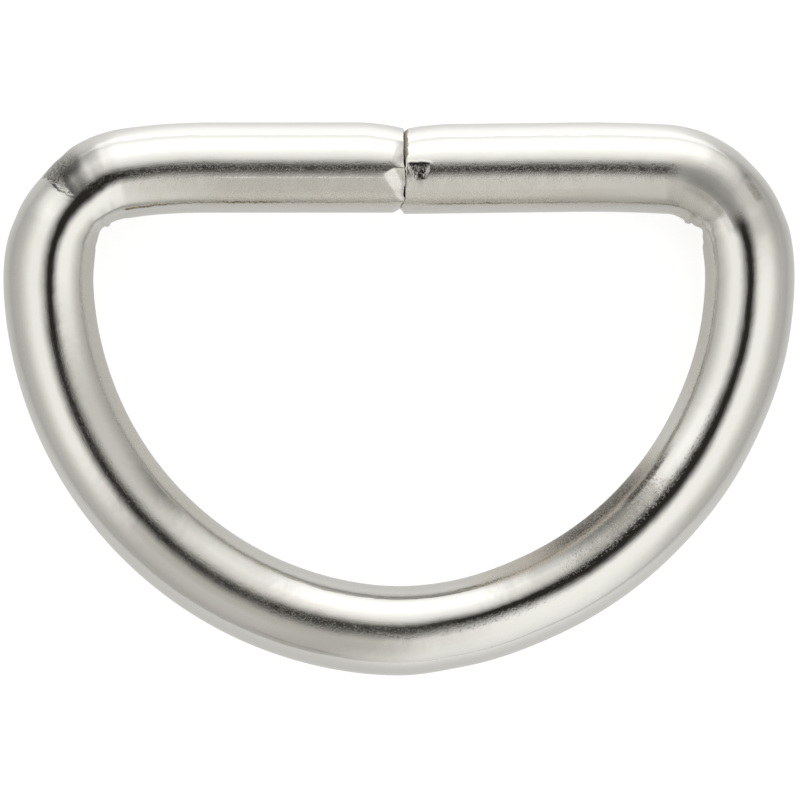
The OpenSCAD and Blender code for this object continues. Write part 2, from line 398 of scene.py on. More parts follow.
# How far a half's end leans along the wire to follow the cut: by the gap, which is widest at the wire's
# surface and closes towards its middle, and by the shift of the line where the ends meet
def leanToCut(side, across, back, scale):
    share = np.clip(across / wireRadius, -1, 1)
    gapColumn, sign = (1, -1) if side == "left" else (2, 1)
    wander = uneven(across, ring["raggedStep"], "cut") * ring["ragged"][side]
    wander = wander * smoothStep(share, *ring["raggedFrom"])
    depth = smoothStep(scale, 1 - ring["gapDepth"], 1)
    gap = (fromTable(ring["gap"], gapColumn, share) + wander) * depth + ring["closest"]
    follow = 1 - smoothStep(back, 0, ring["endReach"])
    return follow * (gap + sign * fromTable(ring["gap"], 3, share))


# One half of the ring as a grid, rows along the wire and columns around it from its underside, and its
# marks. Each point is the wire's middle line plus the section's place across and its height.
def halfRing(side, angles):
    sign = 1 if side == "right" else -1
    bends = halfBends(ring[side])
    length = halfLength(bends, sign * ring["jointX"])
    distance, scale = wireRows(side, bends, length)
    point, heading, past = alongHalf(bends, distance)
    normal = outwardAt(heading)
    # From here on these are columns, which go with all points of a row of the grid
    heading, past, distance, scale = [values[:, None] for values in (heading, past, distance, scale)]
    back = length - distance
    # Place along for the marks: the heading, and past the last bend 1 more for each millimetre
    place = np.degrees(heading) + past / mm

    across, above = sectionPoints(side, heading, back, angles)
    across, above, bright, sootAndShade = markSection(side, across, above, back, distance, place)
    sharp = 1 - smoothStep(across / wireRadius, *ring["sharpBelow"][side])
    scale = np.where(scale > ring["rimScale"], scale + (1 - scale) * sharp * ring["rimSharp"], scale)
    across, above = across * scale, above * scale
    x = point[:, None, 0] + across * normal[:, None, 0] + leanToCut(side, across, back, scale)
    y = point[:, None, 1] + across * normal[:, None, 1]

    share = across / wireRadius
    marks = {name: markAt(rows, side, place, share, above) for name, rows in platingMarks.items()}
    onFace = (scale < ring["faceScale"]) & (back < ring["closeRows"]["edge"][0] / 2)
    rusty = onFace * smoothStep(share, *ring["faceStainFrom"]) * ring["faceStain"][side]
    # Darkening of the faces: soot, and painted shade that deepens towards their inner part
    dark, less = ring["faceSootAndShade"]
    dark = onFace * (dark - less * smoothStep(share, *ring["faceShadeFrom"]))
    marks["dull"] = np.maximum(marks["dull"] * (1 - bright), onFace)
    marks["rub"] = marks["rub"] * (1 - bright)
    marks["pits"] = marks["pits"] * (1 - bright)
    marks["stain"] = np.maximum(marks["stain"], rusty)
    # Soot of the plating marks, with the painted dark reflection by the scar, the painted shade in the
    # dent and the faces' darkening
    marks["sootAndShade"] = np.maximum.reduce([marks["sootAndShade"], sootAndShade, dark])
    marks["wire"] = np.stack(np.broadcast_arrays(sign * distance, across, above), axis=-1)
    return np.stack([sign * x, y, wireRadius + above], axis=-1), marks


# Marks on the plating, on the upper side of the wire. Columns: half, heading at which the mark begins
# and is full, heading at which it starts to fade and ends, and across the wire, as shares of its
# radius, the same four; strength. The strongest row counts. Headings of -2 and -1 lie before the bow's
# foot and those of 400 and 410 past the joint, so such a mark goes on to there.
platingMarks = {
    # Dull: where the tools have pressed, along the inner side, and on the top of the bar and of the
    # bow's foot
    "dull": [
        ("both", (166, 176, 400, 410), (-0.90, -0.66, 0.04, 0.12), 0.90),
        ("left", (-2, -1, 28, 60), (-0.44, -0.16, 0.22, 0.40), 0.85),
        ("right", (-2, -1, 6, 20), (-0.25, -0.10, 0.22, 0.40), 0.80),
        ("right", (104, 126, 170, 184), (-0.27, -0.23, 0.16, 0.50), 0.40),
        ("right", (110, 126, 170, 184), (-1.00, -0.80, -0.25, -0.22), 0.70),
        ("left", (20, 45, 70, 90), (-0.30, -0.10, 0.10, 0.30), 0.45),
        ("both", (-2, -1, 166, 176), (-1.20, -1.10, -0.76, -0.70), 0.35),
    ],
    # Rubbed: rough, but without grain
    "rub": [
        ("right", (104, 122, 166, 180), (-0.27, -0.23, 0.16, 0.50), 1.00),
        ("right", (112, 126, 160, 176), (0.10, 0.40, 1.10, 1.20), 0.35),
        ("both", (50, 70, 166, 176), (-1.20, -1.10, -0.60, -0.46), 0.60),
        ("left", (134, 140, 156, 166), (0.46, 0.58, 0.84, 0.94), 0.70),
        ("right", (148, 160, 179, 183), (-1.00, -0.85, -0.30, -0.24), 0.70),
        ("left", (150, 160, 174, 180), (-1.00, -0.85, -0.34, -0.22), 0.45),
    ],
    # Stained a light brown
    "stain": [
        ("right", (10, 26, 50, 60), (-1.20, -1.10, -0.74, -0.60), 0.55),
        ("right", (58, 80, 130, 175), (-1.20, -1.10, -0.88, -0.72), 0.25),
        ("left", (20, 45, 120, 130), (-1.20, -1.10, -0.85, -0.68), 0.25),
        ("both", (176, 181, 400, 410), (-0.92, -0.84, -0.50, -0.44), 0.22),
        ("right", (30, 44, 50, 54), (-0.85, -0.70, -0.35, -0.20), 0.22),
    ],
    # Blackened
    "sootAndShade": [
        ("right", (24, 36, 46, 56), (-1.20, -1.10, -0.83, -0.72), 0.80),
        ("left", (179, 182, 400, 410), (-0.66, -0.48, -0.14, -0.04), 0.12),
        ("right", (118, 121, 128, 133), (0.44, 0.52, 0.60, 0.68), 0.35),
        ("right", (44, 47, 54, 60), (-0.77, -0.71, -0.65, -0.58), 0.80),
        ("right", (36, 43, 49, 53), (-0.64, -0.52, -0.30, -0.16), 0.05),
        ("right", (104, 112, 156, 170), (-0.44, -0.34, -0.10, 0.06), 0.17),
    ],
    "pits": [
        ("both", (164, 174, 400, 410), (-0.15, -0.08, 0.09, 0.14), 0.85),
        ("both", (164, 178, 400, 410), (-0.36, -0.24, -0.12, -0.06), 0.50),
        ("right", (45, 47, 52, 54), (-0.76, -0.70, -0.62, -0.56), 3.20),
        ("right", (45, 48, 51, 54), (-0.62, -0.56, -0.30, -0.20), 1.10),
        ("right", (20, 36, 60, 74), (-0.32, -0.24, -0.16, -0.08), 1.00),
        ("right", (24, 34, 46, 50), (-0.66, -0.56, -0.34, -0.26), 0.50),
        ("left", (16, 30, 66, 90), (-0.30, -0.18, 0.04, 0.16), 0.50),
        ("both", (-2, -1, 18, 34), (-0.14, -0.06, 0.10, 0.18), 0.80),
        ("left", (143, 147, 166, 180), (-0.20, -0.14, 0.06, 0.12), 0.50),
        ("right", (122, 130, 156, 170), (-0.24, -0.20, 0.10, 0.24), 0.08),
    ],
    # Hairlines, with the same columns but those across the wire
    "seam": [
        ("left", (12, 18, 70, 96), 0.06),
        ("left", (-2, -1, 12, 18), 0.14),
        ("right", (-2, -1, 9, 14), 0.22),
        ("right", (9, 14, 42, 46), 0.85),
        ("right", (53, 60, 70, 96), 0.85),
        ("right", (92, 98, 182.5, 183.5), 0.70),
        ("right", (182.5, 183.5, 186.2, 187), 1.30),
        ("left", (164, 172, 182, 184), 1.60),
        ("left", (182, 184, 400, 410), 0.50),
    ],
    "arc": [("left", (8, 12, 21, 25), 0.80)],
    # A painted highlight: a lighter line along the left bar, without height, that stands in for the
    # light on a ledge
    "ledgeHighlight": [("left", (178, 181, 400, 410), 1.00)],
}


# Strength of a mark: the greatest of its rows, each the product of smooth steps along and across
def markAt(rows, side, place, share, above):
    strength = np.zeros(share.shape)
    for along, *across, most in rowsOf(rows, side):
        row = most * between(place, *along) * (above > 0)
        if across:
            row = row * between(share, *across[0])
        strength = np.maximum(strength, row)
    return strength


# The seeded random draw of a mark, between -1 and 1
def drawFor(name, shape):
    return np.random.default_rng(ring["seeds"][name]).uniform(-1, 1, shape)


# Unevenness of a mark: its random draw at even steps, joined by straight lines
def uneven(place, step, name):
    knots = np.arange(-2 * wireRadius, ring["unevenLength"], step)
    return np.interp(place, knots, drawFor(name, len(knots)))


# Distance of a place from the line through two others, positive on the left of it
def sideOfLine(back, across, start, end):
    run, rise = end[0] - start[0], end[1] - start[1]
    return ((across - start[1]) * run - (back - start[0]) * rise) / math.hypot(run, rise)


# Slope on the left end: the height falls in proportion to the distance u past the first border, less
# that past the second. Each is (u + the root of (u squared + edge squared)) / 2, so it sets in softly.
def cutFacet(across, above, back):
    facet = ring["facet"]
    share = across / wireRadius
    past = [np.interp(share, *np.array(facet[border]).T) - back for border in ("from", "until")]
    begun, ended = [(u + np.sqrt(u ** 2 + facet["edge"] ** 2)) / 2 for u in past]
    on, off = [smoothStep(u, -facet["edge"] / 2, facet["edge"] / 2) for u in past]
    return above - (above > 0) * facet["slope"] * (begun - ended), (above > 0) * on * (1 - off)


# Dent in the right end: inside three lines with rounded corners the height goes over to a flat
# bottom, unevened by a random draw, and outside them it rises to a lip. The distance inside is the
# soft least of the three distances: -r times the log of the sum of exp(-distance / r).
def pressDent(across, above, back):
    dent = ring["dent"]
    corners = [dent["near"], dent["foot"], dent["far"], dent["near"]]
    distances = [sideOfLine(back, across, *pair) for pair in zip(corners, corners[1:])]
    inside = -dent["round"] * np.log(sum(np.exp(-distance / dent["round"]) for distance in distances))
    wander = uneven(back, dent["step"], "dentBack") + uneven(across, dent["step"], "dentAcross")
    inside = inside + dent["ragged"] * wander
    rough = dent["rough"] * drawFor("dentFloor", above.shape)
    floor = wireRadius - dent["depth"] + dent["slope"] * across + rough
    mask = smoothStep(inside, -dent["edge"] / 2, dent["edge"] / 2)
    lip = dent["lip"] * np.exp(-((inside + dent["lipOut"]) / dent["lipBreadth"]) ** 2)
    lip = lip * smoothStep(across, *dent["lipFrom"])
    pressed = above + mask * np.minimum(floor - above, 0) + lip
    return np.where(above > 0, pressed, above), mask * (above > 0)


# Ridge on the right corner: at the distance u inside it the height is less by slope * u * the
# exponential of -(u / reach)
def foldRidge(across, above, distance, place):
    ridge = ring["ridge"]
    fold = between(place, *ridge["headings"]) * ridge["slope"]
    inside = ridge["across"] * wireRadius - across
    wander = uneven(distance, ridge["step"], "ridge") * ridge["ragged"]
    inside = np.maximum(inside + wander * np.exp(-np.abs(inside) / ridge["near"]), 0)
    return above - (above > 0) * fold * inside * np.exp(-inside / ridge["reach"])


# Scar on the left corner: a groove, the bell curve of the distance past its line, and uneven. It also
# gives a painted dark reflection on the bar's side of the line, which is blackest right beside it.
def cutScar(across, above, place):
    scar = ring["scar"]
    share = across / wireRadius
    line = scar["outer"] + scar["turn"] * np.exp(-share / scar["over"])
    wander = uneven(across, scar["step"], "scar") * scar["ragged"]
    past = np.radians(place - line) * ring["cornerRadius"] + wander
    change = scar["depthChange"]
    depth = scar["depth"] * (1 - change + change * uneven(across, scar["step"], "scarDepth"))
    groove = between(share, *scar["across"]) * depth * np.exp(-(past / scar["breadth"]) ** 2)
    # Painted dark reflection beyond the scar, fading with the heading and reaching further on the side
    # than on the top
    fades, ends, further, dark = scar["sootAndShade"]
    side = smoothStep(share, *scar["darkSide"])
    sootAndShade = dark * (1 - scar["darkTopLess"] * (1 - side))
    sootAndShade = sootAndShade * (1 - smoothStep(place - further * side, fades, ends))
    black, change, length = scar["black"]
    black = black * (1 - change + change * uneven(across, scar["step"], "scarBlack"))
    sootAndShade = sootAndShade + black * np.exp(-np.maximum(past, 0) / length)
    sootAndShade = sootAndShade * smoothStep(past, 0, scar["darkEdge"]) * smoothStep(share, *scar["darkAcross"])
    return above - (above > 0) * groove, (above > 0) * sootAndShade


# Where the top is flattened it loses a hump, a bell curve across the wire. A bell curve's slope is
# -2 * x / breadth squared times itself, so this height takes the wanted share off the round wire's
# slope. Where the inner side is fuller, a hump is added. A burr moves the innermost part inwards.
def bendSection(side, across, above, distance, place):
    for headings, middle, breadth, lost in rowsOf(ring["flats"], side):
        hump = np.exp(-((across / wireRadius - middle) / breadth) ** 2)
        height = between(place, *headings) * lost * breadth ** 2 / 2 * wireRadius
        above = above - (above > 0) * height * hump
    for headings, middle, breadth, gained in rowsOf(ring["bulges"], side):
        hump = np.exp(-((across / wireRadius - middle) / breadth) ** 2)
        above = above + (above > 0) * between(place, *headings) * gained * wireRadius * hump
    change = ring["burrChange"]
    wander = 1 - change + change * uneven(distance, ring["burrStep"], "burrs")
    for headings, gained in rowsOf(ring["burrs"], side):
        height = between(place, *headings) * gained * wireRadius * wander
        across = across - height * smoothStep(-across / wireRadius, *ring["burrFrom"])
    return across, above


# The marks that cutting and bending have left on the section's shape, where they are bright, and
# where they are darkened: by a painted dark reflection beside the left corner's scar and by painted
# shade in the right end's dent. At the cut the outer part rolls over by the square of the share of its
# length, and the inner side draws back by a smooth step.
def markSection(side, across, above, back, distance, place):
    across, above = bendSection(side, across, above, distance, place)
    if side == "left":
        above, sootAndShade = cutScar(across, above, place)
        above, bright = cutFacet(across, above, back)
    else:
        above = foldRidge(across, above, distance, place)
        above, bright = pressDent(across, above, back)
        # Painted shade darkens the dent's bottom
        sootAndShade = ring["dent"]["sootAndShade"] * bright
    length, drop, low, high = ring["roll"][side]
    rolled = smoothStep(across / wireRadius, low, high) * np.clip(1 - back / length, 0, 1) ** 2
    above = above - drop * rolled * np.clip(above / wireRadius, 0, 1)
    drawn, length = ring["notch"][side]
    recess = drawn * (1 - smoothStep(back, 0, length))
    recess = recess * smoothStep(-across / wireRadius, *ring["notchFrom"])
    return across + recess, above, bright, sootAndShade


# Puts a grid of points, closed around and with a pole at each end, into a new mesh
def meshFromGrid(name, grid):
    rows, columns = grid.shape[:2]
    inside = grid[1:-1].reshape(-1, 3)
    points = np.concatenate([inside, grid[0, :1], grid[-1, :1]])
    ringRows = rows - 2
    row, column = np.meshgrid(np.arange(ringRows - 1), np.arange(columns), indexing="ij")
    after = (column + 1) % columns
    quads = np.stack([
        row * columns + column,
        row * columns + after,
        (row + 1) * columns + after,
        (row + 1) * columns + column,
    ], axis=-1).reshape(-1, 4)
    first, last = len(points) - 2, len(points) - 1
    edge = np.arange(columns)
    nextEdge = (edge + 1) % columns
    lastRow = (ringRows - 1) * columns
    startFan = np.stack([np.full(columns, first), nextEdge, edge], axis=-1)
    endFan = np.stack([np.full(columns, last), lastRow + edge, lastRow + nextEdge], axis=-1)
    mesh = bpy.data.meshes.new(name)
    mesh.from_pydata(points.tolist(), [], quads.tolist() + startFan.tolist() + endFan.tolist())
    # The cut faces are shaded flat, so that they don't bend the light on the wire's rim
    quadRow = np.repeat(np.arange(ringRows - 1), columns)
    onWire = (quadRow > ring["faceRows"] - 2) & (quadRow < rows - 2 - ring["faceRows"])
    smooth = np.concatenate([onWire, np.zeros(2 * columns, bool)])
    mesh.polygons.foreach_set("use_smooth", smooth)
    return mesh


# Stores one value for each point of the grid on the mesh, in the order of meshFromGrid
def storeMark(mesh, name, values):
    tail = values.shape[2:]
    flat = np.concatenate([values[1:-1].reshape(-1, *tail), values[0, :1], values[-1, :1]])
    layer = mesh.attributes.new(name, "FLOAT_VECTOR" if tail else "FLOAT", "POINT")
    layer.data.foreach_set("vector" if tail else "value", flat.astype(np.float32).reshape(-1))


# Spacing of the mesh around the wire, as an angle
def columnGapAt(angle):
    top, sides, under = ring["columnGaps"]
    up = np.sin(angle)
    gap = np.where(up > ring["topFrom"], top, np.where(up > ring["underBelow"], sides, under))
    return gap / wireRadius


def buildRing():
    angles = spacedBy(-math.pi / 2, math.pi * 3 / 2, columnGapAt)[:-1]
    right, rightMarks = halfRing("right", angles)
    left, leftMarks = halfRing("left", angles)
    # From the right face's centre down to the bow, then from the bow's next row up the left half
    grid = np.concatenate([right[::-1], left[1:]])
    mesh = meshFromGrid("ring", grid)
    for name in rightMarks:
        storeMark(mesh, name, np.concatenate([rightMarks[name][::-1], leftMarks[name][1:]]))
    piece = bpy.data.objects.new("ring", mesh)
    bpy.context.scene.collection.objects.link(piece)
    triangles = sum(len(face.vertices) - 2 for face in mesh.polygons)
    print("ring:", len(mesh.vertices), "points,", triangles, "triangles")
    return piece


def addNode(tree, kind, **settings):
    node = tree.nodes.new(kind)
    for name, value in settings.items():
        setattr(node, name, value)
    return node


# A link where the value is another node's output, or else the socket's own value
def plug(tree, value, socket):
    if isinstance(value, bpy.types.NodeSocket):
        tree.links.new(value, socket)
    else:
        socket.default_value = value


# A value that the mesh holds for each of its points
def stored(tree, name, output="Fac"):
    return addNode(tree, "ShaderNodeAttribute", attribute_name=name).outputs[output]


def calc(tree, operation, *values, clamp=False):
    node = addNode(tree, "ShaderNodeMath", operation=operation, use_clamp=clamp)
    for socket, value in zip(node.inputs, values):
        plug(tree, value, socket)
    return node.outputs[0]


# All the values put together by one operation, such as a sum or a product
def combine(tree, operation, values):
    total = values[0]
    for value in values[1:]:
        total = calc(tree, operation, total, value)
    return total


# Noise between 0 and 1; its scale is 1 / the size of its grain
def noise(tree, vector, scale, detail, roughness):
    node = addNode(tree, "ShaderNodeTexNoise")
    plug(tree, vector, node.inputs["Vector"])
    plug(tree, scale, node.inputs["Scale"])
    plug(tree, detail, node.inputs["Detail"])
    plug(tree, roughness, node.inputs["Roughness"])
    return node.outputs["Fac"]


# A value's range from low to high, stretched to another one and held at its ends
def remap(tree, value, low, high, toLow=0.0, toHigh=1.0, kind="LINEAR"):
    node = addNode(tree, "ShaderNodeMapRange", interpolation_type=kind)
    for socket, v in zip(node.inputs, (value, low, high, toLow, toHigh)):
        plug(tree, v, socket)
    return node.outputs[0]


def mixColour(tree, share, first, second):
    node = addNode(tree, "ShaderNodeMix", data_type="RGBA")
    for name, v in (("Factor_Float", share), ("A_Color", first), ("B_Color", second)):
        socket = next(s for s in node.inputs if s.identifier == name)
        plug(tree, v, socket)
    return next(s for s in node.outputs if s.identifier == "Result_Color")


# Each grain holds its length along and around the wire, and its noise's detail and roughness
nickel = {
    "bright": (0.604, 0.600, 0.578, 1),
    "dull": (0.575, 0.566, 0.530, 1),
    "stain": (0.40, 0.335, 0.25, 1),
    # Colour of soot, and of the painted shade and painted dark reflection
    "sootAndShade": (0.07, 0.06, 0.05, 1),
    "stainRoughness": 0.6,
    "gloss": 0.055,
    "satin": 0.20,
    "rubbed": 0.22,                # roughness that rubbing adds
    "grain": (0.065 * mm, 0.08 * mm, 2.0, 0.6),
    "grainDepth": 0.0006 * mm,
    "dullDepth": 0.0022 * mm,
    "pitGrain": (0.10 * mm, 0.10 * mm, 2.0, 0.6),
    "pitFrom": (0.53, 0.66),       # noise at which a pit begins and is full
    "pitDepth": 0.0020 * mm,
    "pitDirt": 0.30,
    "drawn": (1.6 * mm, 0.035 * mm, 2.0, 0.5),     # fine lines that drawing has left along the wire
    "drawnDepth": 0.0010 * mm,
    "wave": (1.1 * mm, 1.1 * mm, 2.0, 0.5),
    "waveDepth": 0.014 * mm,
    "maskFrom": (0.35, 0.65),      # noise at which the masks of the grain and the wave are 0 and 1
    # How much the marks change with the grain's or the wave's mask: strength where it is 0 and 1
    "dullBy": (0.75, 1.0),
    "stainBy": (0.6, 1.1),
    "sootAndShadeBy": (0.6, 1.4),
    "roughBy": (0.8, 1.2),
    "stainMetal": 0.15,            # how far the full stain still is metal
    # Hairlines along the wire: place across as a share of the radius, how far it wanders and over
    # which length, its breadth and its depth
    "lines": {
        "seam": (-0.76, 0.22 * mm, 0.45 * mm, 0.07 * mm, 0.006 * mm),
        "arc": (0.63, 0.10 * mm, 2.00 * mm, 0.07 * mm, 0.004 * mm),
        # The ledge has no depth: its line is a painted highlight
        "ledgeHighlight": (-0.225, 0.05 * mm, 0.40 * mm, 0.08 * mm, 0.0),
    },
    "lineWander": (5.0, 0.72),     # detail and roughness of the noise that they wander by
    # They come and go: length, detail and roughness of that noise, where in it they are faintest and
    # full, and how faint
    "lineChange": (2.5 * mm, 3.0, 0.6),
    "lineFrom": (0.40, 0.60, 0.35),
    "seamCover": 0.9,
    "seamColour": (0.12, 0.09, 0.055, 1),
    "goldColour": (0.55, 0.47, 0.36, 1),
    "goldFrom": (0.25, 0.8),       # where in the grain's mask the gold begins, and how much there is
    "arcDirt": 0.35,
    # Colour of the ledge's painted highlight, lighter than the plating
    "ledgeHighlightColour": (0.86, 0.85, 0.82, 1),
}


# Noise that is stretched along the straightened wire
def wireNoise(tree, place, along, around, detail, roughness):
    stretched = addNode(tree, "ShaderNodeMapping")
    plug(tree, place, stretched.inputs["Vector"])
    plug(tree, (1 / along, 1 / around, 1 / around), stretched.inputs["Scale"])
    return noise(tree, stretched.outputs[0], 1.0, detail, roughness)


# The plating's grain as a height and masks, from the place on the straightened wire: a fine grain that
# is deeper where it is dull, sparse pits, lines along the wire and a slow wave
def grainGroup():
    group = bpy.data.node_groups.new("platingGrain", "ShaderNodeTree")
    for name, kind in (("Place", "Vector"), ("Dull", "Float"), ("Pits", "Float")):
        group.interface.new_socket(name, in_out="INPUT", socket_type="NodeSocket" + kind)
    for name in ("Height", "Speckle", "Cloud", "Spots"):
        group.interface.new_socket(name, in_out="OUTPUT", socket_type="NodeSocketFloat")
    source = addNode(group, "NodeGroupInput")
    place, dull = source.outputs["Place"], source.outputs["Dull"]
    grains = [wireNoise(group, place, *nickel[name]) for name in ("grain", "drawn", "wave", "pitGrain")]
    fine, drawn, wave, pit = grains
    spots = remap(group, pit, *nickel["pitFrom"], kind="SMOOTHSTEP")
    spots = calc(group, "MULTIPLY", spots, source.outputs["Pits"])
    depth = remap(group, dull, 0.0, 1.0, nickel["grainDepth"], nickel["dullDepth"])
    height = combine(group, "ADD", [
        calc(group, "MULTIPLY", fine, depth),
        calc(group, "MULTIPLY", spots, -nickel["pitDepth"]),
        calc(group, "MULTIPLY", drawn, nickel["drawnDepth"]),
        calc(group, "MULTIPLY", wave, nickel["waveDepth"]),
    ])
    target = addNode(group, "NodeGroupOutput")
    plug(group, height, target.inputs["Height"])
    plug(group, remap(group, fine, *nickel["maskFrom"]), target.inputs["Speckle"])
    plug(group, remap(group, wave, *nickel["maskFrom"]), target.inputs["Cloud"])
    plug(group, spots, target.inputs["Spots"])
    return group


# A hairline as a mask: a bell curve of the distance across from a line that wanders with the noise,
# on the upper side of the wire, and fainter and stronger by turns
def lineMask(tree, place, name):
    middle, wanders, over, breadth = nickel["lines"][name][:4]
    parts = addNode(tree, "ShaderNodeSeparateXYZ")
    plug(tree, place, parts.inputs[0])
    along, across, above = parts.outputs
    track = addNode(tree, "ShaderNodeCombineXYZ")
    plug(tree, along, track.inputs[0])
    wander = noise(tree, track.outputs[0], 1 / over, *nickel["lineWander"])
    wander = calc(tree, "MULTIPLY", calc(tree, "SUBTRACT", wander, 0.5), wanders)
    off = calc(tree, "SUBTRACT", calc(tree, "SUBTRACT", across, middle * wireRadius), wander)
    off = calc(tree, "DIVIDE", off, breadth / 2)
    bell = calc(tree, "EXPONENT", calc(tree, "MULTIPLY", calc(tree, "MULTIPLY", off, off), -1.0))
    upper = calc(tree, "GREATER_THAN", above, 0.0)
    length, detail, roughness = nickel["lineChange"]
    faintest, full, faint = nickel["lineFrom"]
    strength = noise(tree, track.outputs[0], 1 / length, detail, roughness)
    strength = remap(tree, strength, faintest, full, faint, 1.0)
    return combine(tree, "MULTIPLY", [bell, upper, strength, stored(tree, name)])


# The marks mix into the plating's colour one after another: dull, stain, soot together with painted
# shade and painted dark reflection, and the hairlines, of which the ledge is a painted highlight
def platingColour(tree, worn, stain, grain, lines):
    speckle = grain.outputs["Speckle"]
    base = mixColour(tree, worn, nickel["bright"], nickel["dull"])
    base = mixColour(tree, stain, base, nickel["stain"])
    speckled = remap(tree, speckle, 0.0, 1.0, *nickel["sootAndShadeBy"])
    # Soot together with the painted shade and painted dark reflection that the mesh holds
    sootAndShade = calc(tree, "MULTIPLY", stored(tree, "sootAndShade"), speckled, clamp=True)
    pitDirt = calc(tree, "MULTIPLY", grain.outputs["Spots"], nickel["pitDirt"], clamp=True)
    arcDirt = calc(tree, "MULTIPLY", lines["arc"], nickel["arcDirt"], clamp=True)
    base = mixColour(tree, combine(tree, "MAXIMUM", [sootAndShade, pitDirt, arcDirt]), base, nickel["sootAndShade"])
    # Painted highlight: the ledge line mixes towards a lighter colour
    base = mixColour(tree, calc(tree, "MULTIPLY", lines["ledgeHighlight"], speckle), base, nickel["ledgeHighlightColour"])
    goldFrom, goldMost = nickel["goldFrom"]
    gold = remap(tree, speckle, goldFrom, 1.0, 0.0, goldMost)
    rust = mixColour(tree, gold, nickel["seamColour"], nickel["goldColour"])
    seam = calc(tree, "MULTIPLY", lines["seam"], nickel["seamCover"], clamp=True)
    return mixColour(tree, seam, base, rust)


def nickelMaterial():
    material = bpy.data.materials.new("nickelPlate")
    material.use_nodes = True
    tree = material.node_tree
    tree.nodes.clear()
    place = stored(tree, "wire", "Vector")
    dull = stored(tree, "dull")
    grain = addNode(tree, "ShaderNodeGroup", node_tree=grainGroup())
    plug(tree, place, grain.inputs["Place"])
    plug(tree, dull, grain.inputs["Dull"])
    plug(tree, stored(tree, "pits"), grain.inputs["Pits"])
    speckle, cloud = grain.outputs["Speckle"], grain.outputs["Cloud"]
    lines = {name: lineMask(tree, place, name) for name in nickel["lines"]}
    worn = calc(tree, "MULTIPLY", dull, remap(tree, cloud, 0.0, 1.0, *nickel["dullBy"]))
    speckled = remap(tree, speckle, 0.0, 1.0, *nickel["stainBy"])
    stain = calc(tree, "MULTIPLY", stored(tree, "stain"), speckled, clamp=True)
    rough = calc(tree, "MULTIPLY_ADD", worn, nickel["satin"] - nickel["gloss"], nickel["gloss"])
    rough = calc(tree, "MULTIPLY", rough, remap(tree, speckle, 0.0, 1.0, *nickel["roughBy"]))
    rough = calc(tree, "MULTIPLY_ADD", stored(tree, "rub"), nickel["rubbed"], rough)
    rough = calc(tree, "MULTIPLY_ADD", stain, nickel["stainRoughness"], rough)
    height = grain.outputs["Height"]
    for name, line in lines.items():
        height = calc(tree, "MULTIPLY_ADD", line, -nickel["lines"][name][4], height)
    metal = calc(tree, "MULTIPLY_ADD", stain, nickel["stainMetal"] - 1, 1.0)
    bump = addNode(tree, "ShaderNodeBump")
    plug(tree, 1.0, bump.inputs["Strength"])
    plug(tree, 1.0, bump.inputs["Distance"])
    plug(tree, height, bump.inputs["Height"])
    shader = addNode(tree, "ShaderNodeBsdfPrincipled")
    plug(tree, platingColour(tree, worn, stain, grain, lines), shader.inputs["Base Color"])
    plug(tree, metal, shader.inputs["Metallic"])
    plug(tree, rough, shader.inputs["Roughness"])
    plug(tree, bump.outputs["Normal"], shader.inputs["Normal"])
    output = addNode(tree, "ShaderNodeOutputMaterial")
    plug(tree, shader.outputs["BSDF"], output.inputs["Surface"])
    return material


# A light table: white acrylic that glows. It glows more for the camera than for the ring, so it is
# as white as in the photo and the ring's rims still stand out against it.
floorLook = {
    "size": 3.0,
    "colour": (0.42, 0.42, 0.41, 1),
    "roughness": 0.25,
    "ior": 1.7,
    "glowColour": (1, 1, 1, 1),
    "glow": 0.40,
    "seenGlow": 0.74,
    # It glows less to the left and right of the ring, and more behind it: between which places, and
    # by how much. The strip behind it widens from there, by this share of the distance.
    "sides": (15 * mm, 24 * mm, -0.30),
    "behind": (10 * mm, 17 * mm, 0.55),
    "behindHalf": (10 * mm, 16 * mm),
    "behindWidens": 0.7,
}


# The floor's glow: even, less at the sides and more in the strip behind the ring, by smooth steps
def floorGlow(tree):
    parts = addNode(tree, "ShaderNodeSeparateXYZ")
    plug(tree, addNode(tree, "ShaderNodeTexCoord").outputs["Object"], parts.inputs[0])
    sideways = calc(tree, "ABSOLUTE", parts.outputs["X"])
    low, high, change = floorLook["sides"]
    sides = remap(tree, sideways, low, high, 0.0, change, "SMOOTHSTEP")
    low, high, change = floorLook["behind"]
    behind = remap(tree, parts.outputs["Y"], low, high, 0.0, change, "SMOOTHSTEP")
    spread = calc(tree, "MAXIMUM", calc(tree, "SUBTRACT", parts.outputs["Y"], high), 0.0)
    spread = calc(tree, "MULTIPLY_ADD", spread, -floorLook["behindWidens"], sideways)
    low, high = floorLook["behindHalf"]
    behind = calc(tree, "MULTIPLY", behind, remap(tree, spread, low, high, 1.0, 0.0, "SMOOTHSTEP"))
    glow = combine(tree, "ADD", [sides, behind, floorLook["glow"]])
    seen = addNode(tree, "ShaderNodeLightPath").outputs["Is Camera Ray"]
    return remap(tree, seen, 0.0, 1.0, glow, floorLook["seenGlow"])


def makeFloor():
    half = floorLook["size"] / 2
    mesh = bpy.data.meshes.new("floor")
    corners = [(-half, -half, 0), (half, -half, 0), (half, half, 0), (-half, half, 0)]
    mesh.from_pydata(corners, [], [(0, 1, 2, 3)])
    floor = bpy.data.objects.new("floor", mesh)
    bpy.context.scene.collection.objects.link(floor)
    material = bpy.data.materials.new("paleFloor")
    material.use_nodes = True
    tree = material.node_tree
    shader = tree.nodes["Principled BSDF"]
    plug(tree, floorLook["colour"], shader.inputs["Base Color"])
    plug(tree, floorLook["roughness"], shader.inputs["Roughness"])
    plug(tree, floorLook["ior"], shader.inputs["IOR"])
    plug(tree, floorLook["glowColour"], shader.inputs["Emission Color"])
    plug(tree, floorGlow(tree), shader.inputs["Emission Strength"])
    mesh.materials.append(material)


